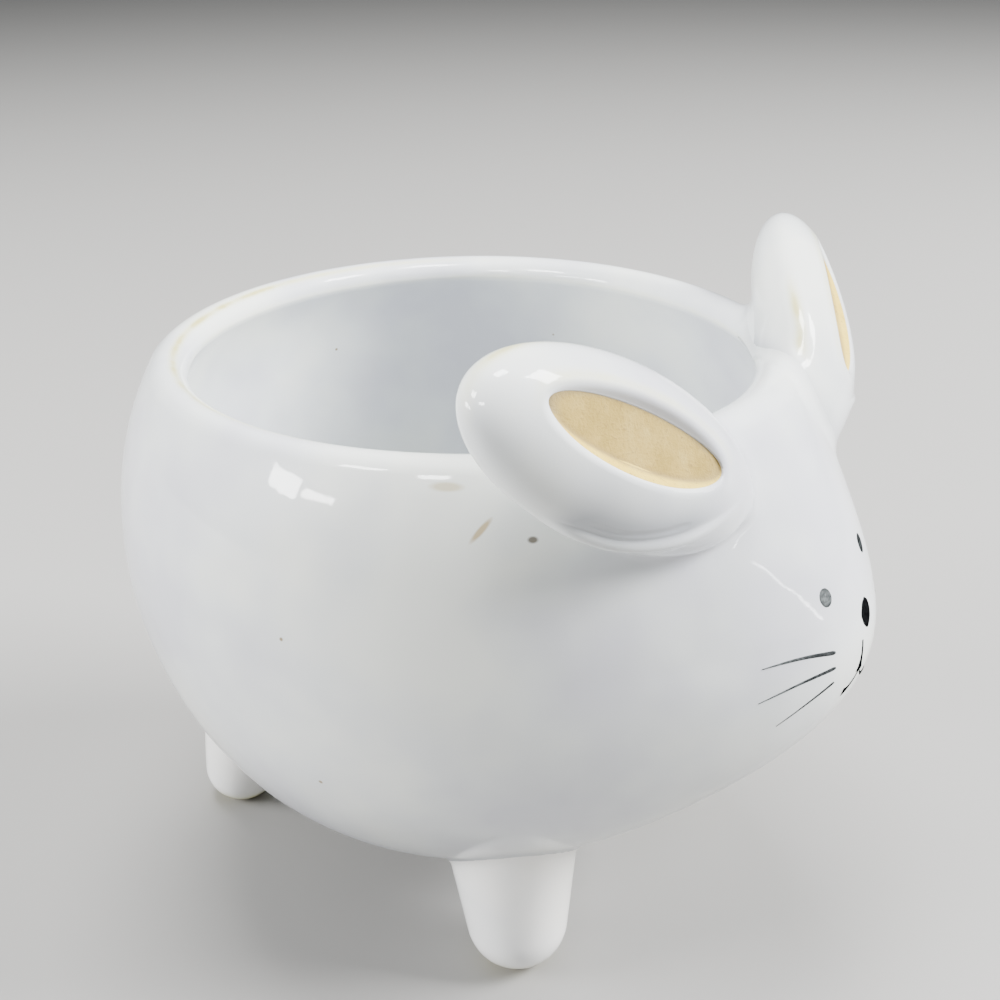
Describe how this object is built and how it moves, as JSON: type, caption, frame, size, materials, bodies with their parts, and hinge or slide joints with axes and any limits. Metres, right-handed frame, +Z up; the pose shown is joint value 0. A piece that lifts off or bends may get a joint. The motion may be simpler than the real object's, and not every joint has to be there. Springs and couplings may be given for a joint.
{
  "type": "animal shaped planter",
  "caption": "Round footed planter shaped as a rabbit: the wall bulges into the head, with dished ears, stub feet and a painted face, open at the top for a plant.",
  "frame": {"origin": "on the surface the feet stand on, under the middle of the whole planter", "axes": "+Z up through the mouth of the pot, -Y where the face looks, +X the rabbit's left side"},
  "size_m": [0.1334, 0.148, 0.1317],
  "materials": {
    "white_glaze": "gloss",
    "bare_clay": "matte",
    "black_underglaze": "gloss"
  },
  "bodies": {
    "root": {"pot_body": "white_glaze", "ear_right": "white_glaze", "ear_left": "white_glaze", "foot_front_right": "white_glaze", "foot_front_left": "white_glaze", "foot_rear_right": "white_glaze", "foot_rear_left": "white_glaze", "inner_ear_right": "bare_clay", "inner_ear_left": "bare_clay", "eye_right": "black_underglaze", "eye_left": "black_underglaze", "nose": "black_underglaze", "mouth": "black_underglaze", "whiskers_right": "black_underglaze", "whiskers_left": "black_underglaze"}
  },
  "joints": []
}
